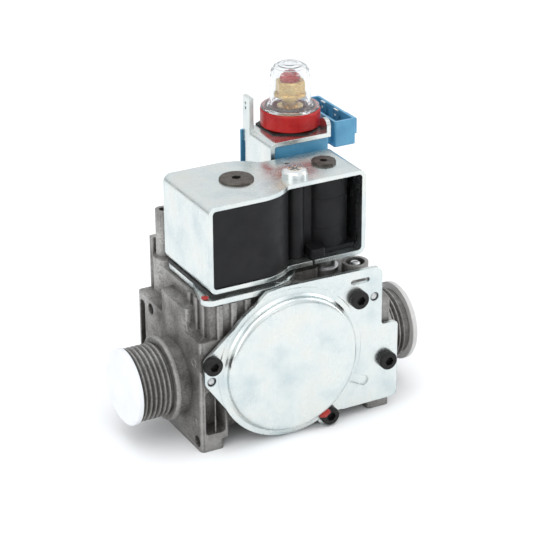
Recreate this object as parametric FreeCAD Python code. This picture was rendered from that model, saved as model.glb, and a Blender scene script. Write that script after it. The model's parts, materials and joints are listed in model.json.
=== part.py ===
import FreeCAD, Part
import math
import os

# Combination gas valve for a boiler: cast body, two solenoid valves, diaphragm regulator, modulator.
# Millimetres. +X is the flow direction, -Y is the diaphragm cover's side, +Z is up.
# The origin is on the base plane, under the middle of the flow axis.

V = FreeCAD.Vector
X_AXIS = V(1, 0, 0)
Y_AXIS = V(0, 1, 0)
Z_AXIS = V(0, 0, 1)

# ---- driving dimensions ------------------------------------------------------------------------

# body casting
FACE = {-1: 36.0, 1: 40.0}  # distance of the inlet's (-1) and outlet's (1) flange face from the middle
FLANGE_T = 11.0
BODY_FRONT = -21.2         # machined front face that carries the diaphragm
BODY_BACK = 29.0
FLANGE_TOP = 42.5
FOOT_H = 4.0
RAIL_W = 9.0
TOWER_TOP = 55.2
DECK_TOP = 50.0            # top of the casting under the right coil
HOLE_PITCH = 36.0          # each flange's two holes are on one diagonal of a square with this side
NECK_FILLET = 3.5
FLANGE_HOLE_R = 2.1
FLANGE_HOLE_DEPTH = 9.0

# flow axis and connections
AXIS_Z = 21.3
BORE_R = 10.0
THREAD_R = 13.22
THREAD_DEPTH = 1.16
THREAD_PITCH = 1.814
THREAD_END = 54.0
COLLAR_R = 15.2
COLLAR_L = 6.0
NECK_R = 13.6              # groove behind the collar's ring
RING_L = 1.6
INLET_CAP_R = 13.8
OUTLET_CAP_R = 14.6

# diaphragm regulator, axis along Y
REG_X = -2.0
REG_Z = 28.6
CHAMBER_R = 23.0
HOUSING_R = 26.6           # housing on the casting; the cover's disc is wider
RIM_R = 28.0
CHAMBER_FLOOR = -16.0
COVER_BACK = -22.0
PLATE_T = 1.5
DOME_R = 26.0
DOME_H = 3.5
STEP_R = 28.2              # low step pressed round the dome
STEM_R = 2.0
REG_SEAT_Y = 7.0
COVER_BOLTS = [(-32.8, 35.1), (24.8, 47.0), (36.9, 20.2), (13.2, 3.95)]
COVER_PINS = [(-32.7, 28.4), (31.7, 46.1)]
COVER_PIN_R = 1.6
BOLT_R = 2.0
BOLT_HEAD_R = 3.35
BOLT_HEAD_H = 2.6
SOCKET_DEPTH = 1.6
BOLT_DEPTH = 8.0
SEAL_R = 2.9
SEAL_OFFSET = 2.9
SEAL_OUT = 0.6

SPRING_FLOOR = -11.5
SPRING_POCKET_R = 6.5
REG_BORE_R = 5.4
REG_SEAT_R = 7.0
PLUG_R = 8.0
PLUG_RING = 1.2

# vent post and pressure test points
VENT_X = -25.2
VENT_Y = 23.0
VENT_R = 6.4
VENT_TOP = 56.5
PIPE_X = VENT_X - 2.0
PIPE_Y = VENT_Y + 1.0
PIPE_R = 3.0
PIPE_BORE_R = 1.6
PIPE_TOP = 74.0
TEST_POINTS = [(32.6, -8.2, 53.5), (1.0, 22.6, 50.0)]
TEST_BOSS_R = 4.8
TEST_POCKET_R = 3.5
TEST_POCKET = 5.0
TEST_SCREW_R = 2.0

# left solenoid
SEAT_X = -10.0             # middle of the seat's round end
LEFT_X = -10.7
LEFT_Y = -0.6
LEFT_TUBE_R = 7.5
LEFT_CHAMBER_R = 11.5
LEFT_FLOOR = 38.0
SEAT_R = 8.0
SEAT_BORE_R = 6.5
SEAT_TOP = 39.0
TUBE_FLANGE_R = 13.2
TUBE_FLANGE_Z = 54.0
ORING_T = 1.5
ORING_POCKET_R = 13.1

# right solenoid
RIGHT_X = 23.3
RIGHT_Y = -1.3
RIGHT_TUBE_R = 4.5
TUBE_WALL = 0.5
PILOT_R = 4.4
RIGHT_FLANGE_R = 5.6
JET_Z = 38.0
JET_R = 3.0
CORE_BOTTOM = 73.0         # lower face of the left fixed core
CORE_STEP = 84.0
CORE_HEAD_H = 0.9
RIGHT_CORE_BOTTOM = 71.2
RIGHT_WINDING_R = 8.4

# base plate and coil bracket
GASKET_T = 0.4
BASE_PLATE_T = 2.0
COIL_GASKET_T = 1.2
PLATE_FRONT = -21.0
PLATE_BACK = 16.4
PLATE_LEFT_FRONT = -34.3
PLATE_LEFT_BACK = -30.2
PLATE_SCREWS = [(-27.5, -15.5), (-27.5, 12.3), (3.0, 5.7), (-3.2, -15.9)]
BRACKET_T = 1.6
BRACKET_L = -30.7
BRACKET_R = 33.4
BRACKET_H = 32.0
BRACKET_FRONT = -19.0
BRACKET_BACK = 16.0
BRACKET_FRONT_R = -13.8
BRACKET_BACK_R = 9.4
BEND_R = 3.0
PAN_X = 8.8
PAN_Y = -6.7
PAN_HEAD_R = 4.5
JOINT_X0 = 12.0            # narrow joint between the bracket strip's two ends
JOINT_X1 = 13.0

# modulator
MOD_X = 24.9
MOD_Y = 26.0
MOD_SEAT = 70.0            # top of the casting's column under the modulator
MOD_CHAMBER = 12.0
MOD_COLUMN_R = 10.5
MOD_TUBE_R = 4.0
MOD_PLATE_TOP = 95.6
MOD_L = 9.5
MOD_R = 33.8
MOD_FRONT = 12.0
MOD_BACK = 34.6
LOCKNUT_T = 0.5
LOCKNUT_AF = 21.6
RING_R = 10.9
RING_H = 6.6
CAP_TOP = 119.0
STEM_TOP = 111.5
GUIDE_COLLAR_R = 4.7
GUIDE_COLLAR_TOP = 103.2
COLLAR_Z = 107.2           # lower face of the brass nut

# plug shell of the modulator
SHELL_X = 38.3
SHELL_Y = 17.0
SHELL_W = 8.8
SHELL_L = 27.4
SHELL_Z0 = 87.2
SHELL_Z1 = 96.9
SHELL_WALL = 1.0
SHELL_FLOOR = 1.4
BLADE_X = 44.8
BLADES_Y = (27.6, 37.0)

# levels that follow from the sizes above
PLATE_BOTTOM = TOWER_TOP + GASKET_T
PLATE_TOP = PLATE_BOTTOM + BASE_PLATE_T
BRACKET_BOTTOM = PLATE_TOP + COIL_GASKET_T
BRACKET_TOP = BRACKET_BOTTOM + BRACKET_H
COIL_BOTTOM = BRACKET_BOTTOM + BRACKET_T + 0.1
COIL_TOP = BRACKET_TOP - BRACKET_T - 0.1
COVER_FRONT = COVER_BACK - PLATE_T
NUT_Z = MOD_PLATE_TOP
RING_Z = NUT_Z + LOCKNUT_T
RING_TOP = RING_Z + RING_H


# ---- helpers -----------------------------------------------------------------------------------

def box(x0, x1, y0, y1, z0, z1):
    """Box between two corners."""
    return Part.makeBox(x1 - x0, y1 - y0, z1 - z0, V(x0, y0, z0))


def round_box(x0, x1, y0, y1, z0, z1, radius, axis="Z"):
    """Box whose edges along one axis are rounded."""
    shape = box(x0, x1, y0, y1, z0, z1)
    return shape.makeFillet(radius, edges_along(shape, axis))


def edges_along(shape, axis):
    """Straight edges of a shape that run along X, Y or Z."""
    direction = {"X": X_AXIS, "Y": Y_AXIS, "Z": Z_AXIS}[axis]
    found = []
    for edge in shape.Edges:
        if len(edge.Vertexes) < 2:
            continue
        run = edge.Vertexes[1].Point.sub(edge.Vertexes[0].Point)
        if isinstance(edge.Curve, Part.Line) and run.cross(direction).Length < 1e-6:
            found.append(edge)
    return found


def rod_z(x, y, z0, z1, radius):
    return Part.makeCylinder(radius, z1 - z0, V(x, y, z0), Z_AXIS)


def rod_x(y, z, x0, x1, radius):
    return Part.makeCylinder(radius, x1 - x0, V(x0, y, z), X_AXIS)


def rod_y(x, z, y0, y1, radius):
    return Part.makeCylinder(radius, y1 - y0, V(x, y0, z), Y_AXIS)


def tube_z(x, y, z0, z1, outer, inner):
    return rod_z(x, y, z0, z1, outer).cut(rod_z(x, y, z0, z1, inner))


def tube_y(x, z, y0, y1, outer, inner):
    return rod_y(x, z, y0, y1, outer).cut(rod_y(x, z, y0, y1, inner))


def lathe(points, origin, axis):
    """Solid of revolution: points are (radius, distance along the axis)."""
    side = X_AXIS if abs(axis.x) < 0.5 else Y_AXIS
    corners = []
    for radius, along in points:
        corners.append(origin + side * radius + axis * along)
    wire = Part.makePolygon(corners + corners[:1])
    return Part.Face(wire).revolve(origin, axis, 360)


def prism_z(x, y, z0, z1, across_flats, sides=6, turn=0.0):
    """Upright prism with equal sides."""
    corner_r = across_flats / 2 / math.cos(math.pi / sides)
    corners = []
    for step in range(sides):
        angle = math.radians(360 / sides * step + turn)
        corners.append(V(x + corner_r * math.cos(angle), y + corner_r * math.sin(angle), z0))
    return Part.Face(Part.makePolygon(corners + corners[:1])).extrude(V(0, 0, z1 - z0))


def hex_prism_y(x, z, y0, y1, across_flats):
    """Hexagonal prism along Y."""
    prism = prism_z(0, 0, 0, y1 - y0, across_flats)
    prism.rotate(V(0, 0, 0), X_AXIS, -90)
    prism.translate(V(x, y0, z))
    return prism


def outline_xz(corners, y):
    """Face in a plane of constant y through (x, z) corners."""
    points = [V(x, y, z) for x, z in corners]
    return Part.Face(Part.makePolygon(points + points[:1]))


def coil_spring(origin, axis, length, mean_r, wire_r, turns):
    """Compression spring of eight-sided wire along a helix, with its ends inside the given length."""
    pitch = (length - 2 * wire_r) / turns
    helix = Part.makeHelix(pitch, length - 2 * wire_r, mean_r)
    section = []
    for step in range(8):
        angle = math.radians(45 * step)
        section.append(V(mean_r + wire_r * math.cos(angle), 0, wire_r * math.sin(angle)))
    ring = Part.makePolygon(section + section[:1])
    spring = Part.Wire(helix).makePipeShell([ring], True, True)
    spring.translate(V(0, 0, wire_r))
    spring.Placement = FreeCAD.Placement(origin, FreeCAD.Rotation(Z_AXIS, axis)) * spring.Placement
    return spring


def fuse_all(shapes):
    first = shapes[0]
    return first.multiFuse(shapes[1:]).removeSplitter()


# ---- body casting ------------------------------------------------------------------------------

def threaded_spigot(side):
    """Neck, collar ring and ridged male thread on one end of the flow axis; side is -1 or +1."""
    start = FACE[side] + COLLAR_L
    points = [(0, FACE[side] - 3), (NECK_R, FACE[side] - 3), (NECK_R, start - RING_L - 0.5)]
    points += [(COLLAR_R, start - RING_L), (COLLAR_R, start - 0.5), (COLLAR_R - 0.5, start)]
    points.append((THREAD_R - THREAD_DEPTH, start))
    ridges = int((THREAD_END - start - 1.0) / THREAD_PITCH)
    first = start + 0.6
    for ridge in range(ridges):
        along = first + ridge * THREAD_PITCH
        points.append((THREAD_R - THREAD_DEPTH, along))
        points.append((THREAD_R, along + 0.38 * THREAD_PITCH))
        points.append((THREAD_R, along + 0.62 * THREAD_PITCH))
        points.append((THREAD_R - THREAD_DEPTH, along + 0.96 * THREAD_PITCH))
    points.append((THREAD_R - THREAD_DEPTH, THREAD_END))
    points.append((0, THREAD_END))
    return lathe(points, V(0, 0, AXIS_Z), X_AXIS * side)


def flange_block(side):
    """Square flange block on its foot rail; side is -1 or +1."""
    near = side * (FACE[side] - FLANGE_T)
    far = side * FACE[side]
    x0 = min(near, far)
    x1 = max(near, far)
    block = round_box(x0, x1, BODY_FRONT, BODY_BACK, FOOT_H, FLANGE_TOP, 1.5)
    rail0 = x0 if side < 0 else x1 - RAIL_W
    rail = round_box(rail0, rail0 + RAIL_W, BODY_FRONT, BODY_BACK, 0, FOOT_H + 2, 1.5)
    return fuse_all([block, rail])


def coil_tower_plan(margin):
    """Plan of the left coil's seat, as a unit-height prism grown by a margin."""
    left = BRACKET_L - margin
    flat = box(left, SEAT_X, BRACKET_FRONT - margin, BRACKET_BACK + margin, 0, 1)
    depth_mid = (BRACKET_FRONT + BRACKET_BACK) / 2
    half_depth = (BRACKET_BACK - BRACKET_FRONT) / 2 + margin
    return flat.fuse(rod_z(SEAT_X, depth_mid, 0, 1, half_depth)).removeSplitter()


def raised(plan, z0, z1):
    """Prism from z0 to z1 on the lower face of a plan."""
    floor = min(plan.Faces, key=lambda face: face.BoundBox.ZMax)
    shape = floor.extrude(V(0, 0, z1 - z0))
    shape.translate(V(0, 0, z0))
    return shape


def body_outside():
    """Everything that the casting is made of, before its passages are bored."""
    parts = [flange_block(-1), flange_block(1)]
    parts.append(box(4 - FACE[-1], FACE[1] - 4, -14, BODY_BACK - 3, FOOT_H, FLANGE_TOP))
    # seat of the left coil, and the deck beside it
    parts.append(raised(coil_tower_plan(0.6), 30, TOWER_TOP))
    parts.append(round_box(-6, 17, -10, 18, 30, TOWER_TOP, 2))
    parts.append(round_box(10, 35, -10.5, 24, 30, DECK_TOP, 2.5))
    # neck between the inlet flange and the seat
    parts.append(round_box(-FACE[-1], -28, -10.5, 10, FLANGE_TOP - 3, 51, 2))
    parts.append(neck_fillet())
    # round regulator housing on the front
    parts.append(rod_y(REG_X, REG_Z, BODY_FRONT, -10, HOUSING_R))
    parts.append(rod_z(0, 0, 0, FOOT_H + 1, 9))
    for x, z in COVER_BOLTS:
        boss = rod_y(x, z, BODY_FRONT, -10.5, 4.6)
        parts.append(boss.common(box(-FACE[-1], FACE[1], -40, 0, 0, 80)))
    parts.append(box(REG_X, 38, BODY_FRONT, -12, 5.8, 33.4))
    parts.append(round_box(33, FACE[1], BODY_FRONT, -12.5, 5.8, 33.4, 1.2))
    parts.append(box(REG_X, 32, BODY_FRONT, -15, 30, 50))
    # test point bosses on the deck
    for x, y, top in TEST_POINTS:
        parts.append(rod_z(x, y, 36, top, TEST_BOSS_R))
    # vent post with its pipe, at the back left
    parts.append(rod_z(VENT_X, VENT_Y, 38, VENT_TOP, VENT_R))
    parts.append(round_box(VENT_X - 5.2, VENT_X + VENT_R, VENT_Y + 4.8, VENT_Y + 7.4, 38, 62, 1.0))
    parts.append(rod_z(PIPE_X, PIPE_Y, VENT_TOP - 1, PIPE_TOP, PIPE_R))
    # column under the modulator
    parts.append(rod_z(MOD_X, MOD_Y, 30, MOD_SEAT, MOD_COLUMN_R))
    parts.append(Part.makeCone(4.0, MOD_COLUMN_R, 14, V(MOD_X, MOD_Y, 16), Z_AXIS))
    parts.append(threaded_spigot(-1))
    parts.append(threaded_spigot(1))
    return fuse_all(parts)


def neck_fillet():
    """Concave corner between the inlet flange's top and the neck's front."""
    low = FLANGE_TOP - 1
    block = box(-FACE[-1] + 0.5, -28.5, -10.5 - NECK_FILLET, -8, low, FLANGE_TOP + NECK_FILLET)
    scoop = rod_x(-10.5 - NECK_FILLET, FLANGE_TOP + NECK_FILLET, -40, -20, NECK_FILLET)
    return block.cut(scoop)


def tower_ribs():
    """Vertical casting ribs on the front left of the coil seat."""
    ribs = []
    for index in range(4):
        x = -29.0 + 5.4 * index
        ribs.append(round_box(x, x + 2.6, -21.0, -17, 40, TOWER_TOP, 0.9))
    for index in range(3):
        y = -17.0 + 5.2 * index
        ribs.append(round_box(-32.6, -29, y, y + 2.4, 41, TOWER_TOP, 0.9))
    return ribs


def flow_passages():
    """Bores and chambers that the gas runs through, from the inlet to the outlet."""
    cuts = [rod_x(0, AXIS_Z, -THREAD_END - 1, -22, BORE_R)]
    cuts.append(box(-29, -21, -6, 6, 18, 49))
    cuts.append(box(-24, -15, -5, 4, 41, 49))
    cuts.append(rod_z(LEFT_X, LEFT_Y, LEFT_FLOOR, TOWER_TOP + 1, LEFT_CHAMBER_R))
    cuts.append(rod_z(LEFT_X, LEFT_Y, TUBE_FLANGE_Z - ORING_T, TOWER_TOP, ORING_POCKET_R))
    cuts.append(rod_z(LEFT_X, LEFT_Y, TUBE_FLANGE_Z, TOWER_TOP + 1, TUBE_FLANGE_R + 0.2))
    cuts.append(rod_z(LEFT_X, LEFT_Y, LEFT_FLOOR - 1.5, LEFT_FLOOR + 1, SEAT_R))
    cuts.append(rod_z(LEFT_X, LEFT_Y, 33, LEFT_FLOOR, SEAT_BORE_R))
    cuts.append(box(-17, 6, -8, 2.5, 20, 34))
    cuts.append(rod_y(REG_X, REG_Z, 2, REG_SEAT_Y + 1, REG_BORE_R))
    cuts.append(rod_y(REG_X, REG_Z, REG_SEAT_Y - 3, REG_SEAT_Y + 1, REG_SEAT_R))
    cuts.append(box(-12, 30, REG_SEAT_Y, 18, 17, 35.8))
    cuts.append(rod_y(REG_X, REG_Z, REG_SEAT_Y, BODY_BACK + 1, PLUG_R))
    cuts.append(rod_y(REG_X, REG_Z, BODY_BACK - PLUG_RING, BODY_BACK + 1, PLUG_R + PLUG_RING))
    cuts.append(rod_x(0, AXIS_Z, 12, THREAD_END + 1, BORE_R))
    cuts.append(box(12, 30, 0, 18, 14, 30))
    return cuts


def regulator_pockets():
    """Diaphragm chamber and stem guide."""
    cuts = [rod_y(REG_X, REG_Z, BODY_FRONT - 8, CHAMBER_FLOOR, CHAMBER_R)]
    cuts.append(rod_y(REG_X, REG_Z, CHAMBER_FLOOR - 1, SPRING_FLOOR, SPRING_POCKET_R))
    cuts.append(rod_y(REG_X, REG_Z, SPRING_FLOOR - 1, -7, STEM_R + 0.05))
    return cuts


def small_holes():
    """Tapped holes, pilot jets, test points and the vent."""
    cuts = []
    # the inlet's holes are upper back and lower front, the outlet's upper front and lower back
    half = HOLE_PITCH / 2
    for side in (-1, 1):
        start = side * (FACE[side] + 0.5)
        end = side * (FACE[side] - FLANGE_HOLE_DEPTH)
        for up in (-1, 1):
            y = -side * up * half
            cuts.append(rod_x(y, AXIS_Z + up * half, min(start, end), max(start, end), FLANGE_HOLE_R))
    for x, z in COVER_BOLTS:
        cuts.append(rod_y(x, z, BODY_FRONT - 1, BODY_FRONT + BOLT_DEPTH, BOLT_R))
    for x, z in COVER_PINS:
        cuts.append(rod_y(x, z, BODY_FRONT - 1, BODY_FRONT + 4, COVER_PIN_R))
    for x, y in PLATE_SCREWS:
        cuts.append(rod_z(x, y, TOWER_TOP - 6, TOWER_TOP + 1, 1.5))
    # right solenoid: pilot chamber and jet down to the outlet
    cuts.append(rod_z(RIGHT_X, RIGHT_Y, 42.4, DECK_TOP + 1, PILOT_R))
    cuts.append(rod_z(RIGHT_X, RIGHT_Y, DECK_TOP - 1, DECK_TOP + 1, PILOT_R + 1))
    cuts.append(rod_z(RIGHT_X, RIGHT_Y, JET_Z, 44, JET_R))
    cuts.append(rod_z(RIGHT_X, RIGHT_Y, 28, 41, 1.0))
    for x, y, top in TEST_POINTS:
        cuts.append(rod_z(x, y, top - TEST_POCKET, top + 1, TEST_POCKET_R))
        cuts.append(rod_z(x, y, top - 11, top, TEST_SCREW_R + 0.05))
        cuts.append(rod_z(x, y, top - 13, top, 0.6))
    cuts.append(rod_z(PIPE_X, PIPE_Y, VENT_TOP - 4, PIPE_TOP + 1, PIPE_BORE_R))
    # modulator valve chamber
    cuts.append(rod_z(MOD_X, MOD_Y, MOD_SEAT - MOD_CHAMBER, MOD_SEAT + 1, PILOT_R))
    cuts.append(rod_z(MOD_X, MOD_Y, MOD_SEAT - 25, MOD_SEAT - 11, 1.0))
    return cuts


def casting_recesses():
    """Recesses that lighten the casting."""
    cuts = [round_box(-34.2, -26.5, BODY_FRONT - 6, -13.5, 6.5, 23.5, 1.4, "Y")]
    cuts.append(round_box(-FACE[-1] - 1, -30.5, 23.0, 26.8, 12, 40, 1.4, "X"))
    cuts.append(round_box(-FACE[-1] - 1, -33, 14, 27, 6, 12, 1.4, "X"))
    cuts.append(round_box(34.5, FACE[1] + 1, 23.0, 26.8, 10, 35, 1.4, "X"))
    for x0, x1 in ((-24, -14), (10, 18), (20, 30)):
        cuts.append(round_box(x0, x1, BODY_BACK - 8, BODY_BACK + 1, 7, 14, 1.4, "Y"))
    cuts.append(round_box(-24, -14, BODY_BACK - 8, BODY_BACK + 1, 18, 36, 1.4, "Y"))
    return cuts


def valve_body():
    solid = fuse_all([body_outside()] + tower_ribs())
    # the regulator housing doesn't stand forward of its machined face or below the base plane
    solid = solid.common(box(-80, 80, BODY_FRONT, 60, 0, 100))
    cuts = flow_passages() + regulator_pockets() + small_holes() + casting_recesses()
    for cut in cuts:
        solid = solid.cut(cut)
    return solid.removeSplitter()


# ---- regulator ---------------------------------------------------------------------------------

def cover_outline():
    """Flat outline of the diaphragm cover, at the plate's front."""
    corners = [(-35.3, 27.6), (-35.3, 36.6), (-11.0, 57.3), (-5.0, 58.1), (34.8, 57.4), (34.8, 34.4)]
    corners += [(41.6, 34.4), (41.6, 4.4), (20.0, 4.2), (6.0, 6.0), (-25.4, 13.6)]
    plate = outline_xz(corners, COVER_FRONT).extrude(V(0, PLATE_T, 0))
    rounded = {(-35.3, 27.6): 3.4, (-35.3, 36.6): 3.0, (34.8, 57.4): 3.0, (34.8, 34.4): 1.2}
    rounded.update({(41.6, 34.4): 1.6, (41.6, 4.4): 2.2})
    for (x, z), radius in rounded.items():
        edges = []
        for edge in edges_along(plate, "Y"):
            point = edge.Vertexes[0].Point
            if abs(point.x - x) < 0.01 and abs(point.z - z) < 0.01:
                edges.append(edge)
        plate = plate.makeFillet(radius, edges)
    lug_x, lug_z = COVER_BOLTS[3]
    disc = rod_y(REG_X, REG_Z, COVER_FRONT, COVER_BACK, RIM_R + 0.2)
    lug = rod_y(lug_x, lug_z, COVER_FRONT, COVER_BACK, 4.4)
    return fuse_all([plate, disc, lug]).common(box(-80, 80, -40, 0, 0, 80))


def dome():
    """Pressed dome over the diaphragm, with soft edges, open at the back."""
    front = COVER_FRONT - DOME_H
    outer = rod_y(REG_X, REG_Z, front, COVER_BACK, DOME_R - 0.6)
    outer = outer.makeFillet(2.2, [circle_edge(outer, front, "y")])
    flare = lathe([(DOME_R - 1, 0), (DOME_R + 0.5, 0), (DOME_R - 0.6, -1.1), (DOME_R - 1, -1.1)],
                  V(REG_X, COVER_FRONT, REG_Z), Y_AXIS)
    inner = rod_y(REG_X, REG_Z, front + PLATE_T, COVER_BACK + 1, DOME_R - 0.6 - PLATE_T)
    inner = inner.makeFillet(1.0, [circle_edge(inner, front + PLATE_T, "y")])
    return outer.fuse(flare), inner


def circle_edge(shape, value, axis):
    """The round edge of a cylinder whose plane stands at a value on one axis."""
    for edge in shape.Edges:
        if isinstance(edge.Curve, Part.Circle) and abs(getattr(edge.Curve.Center, axis) - value) < 1e-6:
            return edge
    raise ValueError("no such edge")


def diaphragm_cover():
    outer, inner = dome()
    shape = fuse_all([cover_outline(), outer])
    # low step round the dome, and a short groove pressed beside it
    shape = shape.fuse(tube_y(REG_X, REG_Z, COVER_FRONT - 0.25, COVER_BACK, STEP_R, DOME_R - 1))
    groove = round_box(-4.3, 4.3, COVER_FRONT - 1, COVER_FRONT + 0.7, -1.85, 1.85, 1.8, "Y")
    groove.rotate(V(0, 0, 0), Y_AXIS, 27)
    groove.translate(V(25.7, 0, 14.8))
    shape = shape.cut(groove).cut(inner)
    for x, z in COVER_BOLTS:
        shape = shape.cut(rod_y(x, z, COVER_FRONT - 3, COVER_BACK + 1, BOLT_R + 0.15))
        shape = shape.cut(rod_y(x, z, COVER_FRONT - 6, COVER_FRONT, BOLT_HEAD_R + 0.05))
    for x, z in COVER_PINS:
        shape = shape.cut(rod_y(x, z, COVER_FRONT - 3, COVER_BACK + 1, COVER_PIN_R + 0.1))
    slot = round_box(22.0, 29.6, COVER_FRONT - 1, COVER_BACK + 1, 52.5, 54.3, 0.85, "Y")
    return shape.cut(slot).removeSplitter()


def socket_screw_y(x, z, front, depth):
    """Socket-head screw whose head stands in front of the plane y = front."""
    head = rod_y(x, z, front - BOLT_HEAD_H, front, BOLT_HEAD_R)
    head = head.makeChamfer(0.35, [circle_edge(head, front - BOLT_HEAD_H, "y")])
    socket = hex_prism_y(x, z, front - BOLT_HEAD_H - 1, front - BOLT_HEAD_H + SOCKET_DEPTH, 3.0)
    shank = rod_y(x, z, front, front + depth, BOLT_R - 0.03)
    return head.fuse(shank).cut(socket).removeSplitter()


def cover_screws():
    depth = BODY_FRONT + BOLT_DEPTH - 0.5 - COVER_FRONT
    return Part.makeCompound([socket_screw_y(x, z, COVER_FRONT, depth) for x, z in COVER_BOLTS])


def cover_pins():
    """Two dowels with domed ends, which locate the cover on the casting."""
    pins = []
    for x, z in COVER_PINS:
        pin = rod_y(x, z, COVER_FRONT + 0.1, BODY_FRONT + 3.8, COVER_PIN_R - 0.02)
        pins.append(pin.makeFillet(1.2, [circle_edge(pin, COVER_FRONT + 0.1, "y")]))
    return Part.makeCompound(pins)


def cover_seal():
    """Lacquer bead in the crevice between the lowest cover screw's head and the dome."""
    x, z = COVER_BOLTS[3]
    bead = Part.makeSphere(SEAL_R, V(x - SEAL_OFFSET, COVER_FRONT - SEAL_OUT, z + SEAL_OFFSET))
    bead = bead.common(box(-80, 80, -60, COVER_FRONT - 0.25, 0, 80))
    outer, _ = dome()
    for other in (rod_y(x, z, COVER_FRONT - 10, COVER_FRONT + 1, BOLT_HEAD_R + 0.06), outer):
        bead = bead.cut(other)
    return max(bead.Solids, key=lambda solid: solid.Volume)


def main_diaphragm():
    """Rubber sheet clamped at its rim, with one rolled fold and a flat centre."""
    profile = [(25.4, BODY_FRONT), (25.4, COVER_BACK), (22.8, COVER_BACK), (21.6, COVER_BACK - 1.6)]
    profile += [(19.6, COVER_BACK - 1.6), (18.4, COVER_BACK + 0.2), (STEM_R + 0.05, COVER_BACK + 0.2)]
    profile += [(STEM_R + 0.05, COVER_BACK + 0.8), (18.7, COVER_BACK + 0.8)]
    profile += [(19.9, COVER_BACK - 0.9), (21.3, COVER_BACK - 0.9), (22.5, BODY_FRONT)]
    return lathe(profile, V(REG_X, 0, REG_Z), Y_AXIS)


def diaphragm_plate():
    back = COVER_BACK + 0.8
    profile = [(STEM_R + 0.05, back), (17.6, back), (17.6, back + 1.2), (7.4, back + 1.2)]
    profile += [(7.4, back + 1.6), (STEM_R + 0.05, back + 1.6)]
    return lathe(profile, V(REG_X, 0, REG_Z), Y_AXIS)


def regulator_stem():
    """Stem with a riveted head in front and a collar that carries the valve disc."""
    front = COVER_BACK + 0.2
    profile = [(0, front - 1.8), (2.6, front - 1.8), (3.4, front - 1.0), (3.4, front), (STEM_R, front)]
    profile += [(STEM_R, REG_SEAT_Y + 0.02), (1.4, REG_SEAT_Y + 0.02), (1.4, REG_SEAT_Y + 2.2)]
    profile += [(6.0, REG_SEAT_Y + 2.2), (6.0, REG_SEAT_Y + 3.4), (2.4, REG_SEAT_Y + 3.4)]
    profile += [(2.4, REG_SEAT_Y + 5.0), (0, REG_SEAT_Y + 5.0)]
    return lathe(profile, V(REG_X, 0, REG_Z), Y_AXIS)


def regulator_valve():
    return tube_y(REG_X, REG_Z, REG_SEAT_Y + 0.02, REG_SEAT_Y + 2.2, 7.0, 1.45)


def regulator_seat():
    return tube_y(REG_X, REG_Z, REG_SEAT_Y - 3, REG_SEAT_Y, REG_SEAT_R, REG_BORE_R)


def regulator_spring():
    start = COVER_BACK + 2.4
    return coil_spring(V(REG_X, start, REG_Z), Y_AXIS, SPRING_FLOOR - start, 5.2, 0.45, 4)


def rear_plug():
    """Threaded plug with a hexagon, which closes the regulator bore at the back."""
    body = rod_y(REG_X, REG_Z, 19, BODY_BACK, PLUG_R - 0.05)
    flange = rod_y(REG_X, REG_Z, BODY_BACK, BODY_BACK + 1.8, 10.4)
    head = hex_prism_y(REG_X, REG_Z, BODY_BACK + 1.8, BODY_BACK + 5.4, 13.0)
    shape = fuse_all([body, flange, head])
    return shape.cut(rod_y(REG_X, REG_Z, 18, BODY_BACK - 4, PLUG_R - 2))


def rear_plug_oring():
    ring = Part.makeTorus(PLUG_R + PLUG_RING / 2, PLUG_RING / 2 - 0.02, V(0, 0, 0), Y_AXIS)
    ring.translate(V(REG_X, BODY_BACK - PLUG_RING / 2, REG_Z))
    return ring


# ---- connections -------------------------------------------------------------------------------

def end_cap(side, flange_r):
    """Push-in transport cap: a disc against the thread's end and a hollow spigot in the bore."""
    points = [(0, THREAD_END + 2.2), (flange_r - 0.6, THREAD_END + 2.2), (flange_r, THREAD_END + 1.6)]
    points += [(flange_r, THREAD_END), (BORE_R - 0.06, THREAD_END), (BORE_R - 0.06, THREAD_END - 6)]
    points += [(BORE_R - 0.7, THREAD_END - 7), (BORE_R - 1.5, THREAD_END - 7)]
    points += [(BORE_R - 1.5, THREAD_END + 0.7), (0, THREAD_END + 0.7)]
    return lathe(points, V(0, 0, AXIS_Z), X_AXIS * side)


def inlet_strainer():
    """Slotted thimble in the inlet bore."""
    points = [(BORE_R - 0.04, 45.5), (BORE_R - 0.04, 44.3), (9.0, 44.3), (8.6, 24.0), (0, 24.0), (0, 24.6)]
    points += [(8.0, 24.6), (8.4, 45.5)]
    shape = lathe(points, V(0, 0, AXIS_Z), X_AXIS * -1)
    for index in range(12):
        slot = box(-42, -27, 6, 11, -0.8, 0.8)
        slot.rotate(V(0, 0, 0), X_AXIS, 30 * index)
        slot.translate(V(0, 0, AXIS_Z))
        shape = shape.cut(slot)
    return shape


def test_screw(index):
    """Test point screw: slotted head in the boss's pocket, shank in its tapped hole."""
    x, y, top = TEST_POINTS[index]
    seat = top - TEST_POCKET
    points = [(0, seat - 5), (TEST_SCREW_R - 0.6, seat - 5), (TEST_SCREW_R, seat - 4.2)]
    points.append((TEST_SCREW_R, seat))
    points += [(2.7, seat), (2.7, seat + 1.2), (1.9, seat + 1.8), (1.9, seat + 4.4), (1.5, seat + 4.8)]
    points += [(0, seat + 4.8)]
    shape = lathe(points, V(x, y, 0), Z_AXIS)
    return shape.cut(box(x - 3, x + 3, y - 0.35, y + 0.35, seat + 3.8, seat + 6))


# ---- coil bracket and what lies under it ---------------------------------------------------------

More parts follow.
